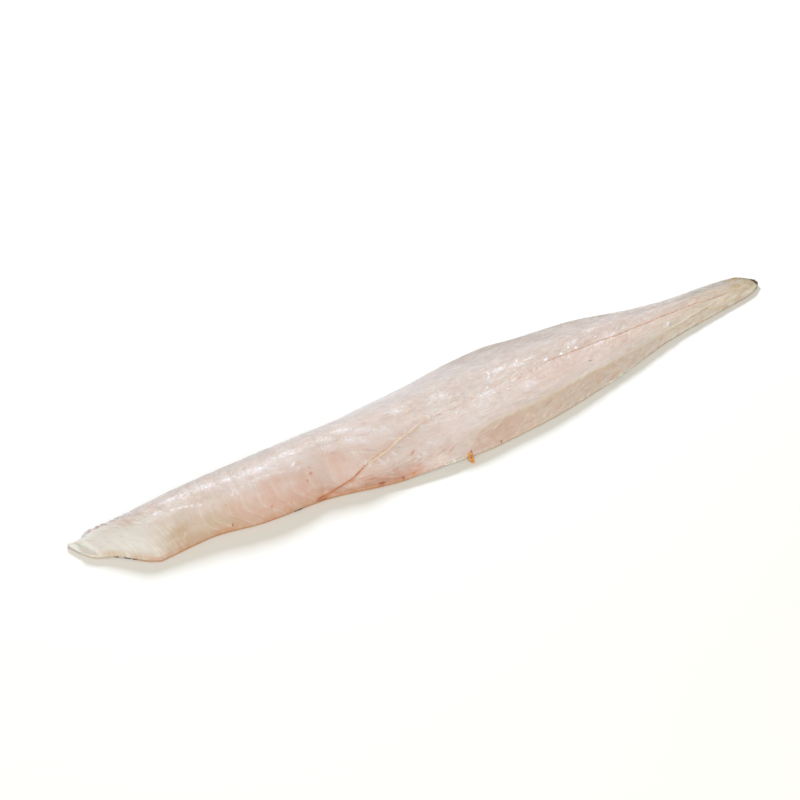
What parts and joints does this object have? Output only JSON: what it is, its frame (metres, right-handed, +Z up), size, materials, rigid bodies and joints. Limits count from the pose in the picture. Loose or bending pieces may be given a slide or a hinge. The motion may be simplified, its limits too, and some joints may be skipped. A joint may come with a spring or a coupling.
{
  "type": "hake fillet",
  "caption": "Long slender raw white-fish fillet lying skin side down: thick rounded loin, thin belly flap, ridged slim tail, and a thin dark skin under the flesh.",
  "frame": {"origin": "centre of the bounding box in plan, on the table plane under the skin", "axes": "+X from the head end to the tail, +Y from the belly side to the back, +Z up out of the flesh face"},
  "size_m": [0.42, 0.0706, 0.0195],
  "materials": {
    "flesh": "wet, translucent raw fish flesh, cream to pale pink",
    "skin": "wet scaled fish skin, dark brown along the back and silvery white along the belly"
  },
  "bodies": {
    "root": {"flesh": "flesh", "skin": "skin"}
  },
  "joints": []
}
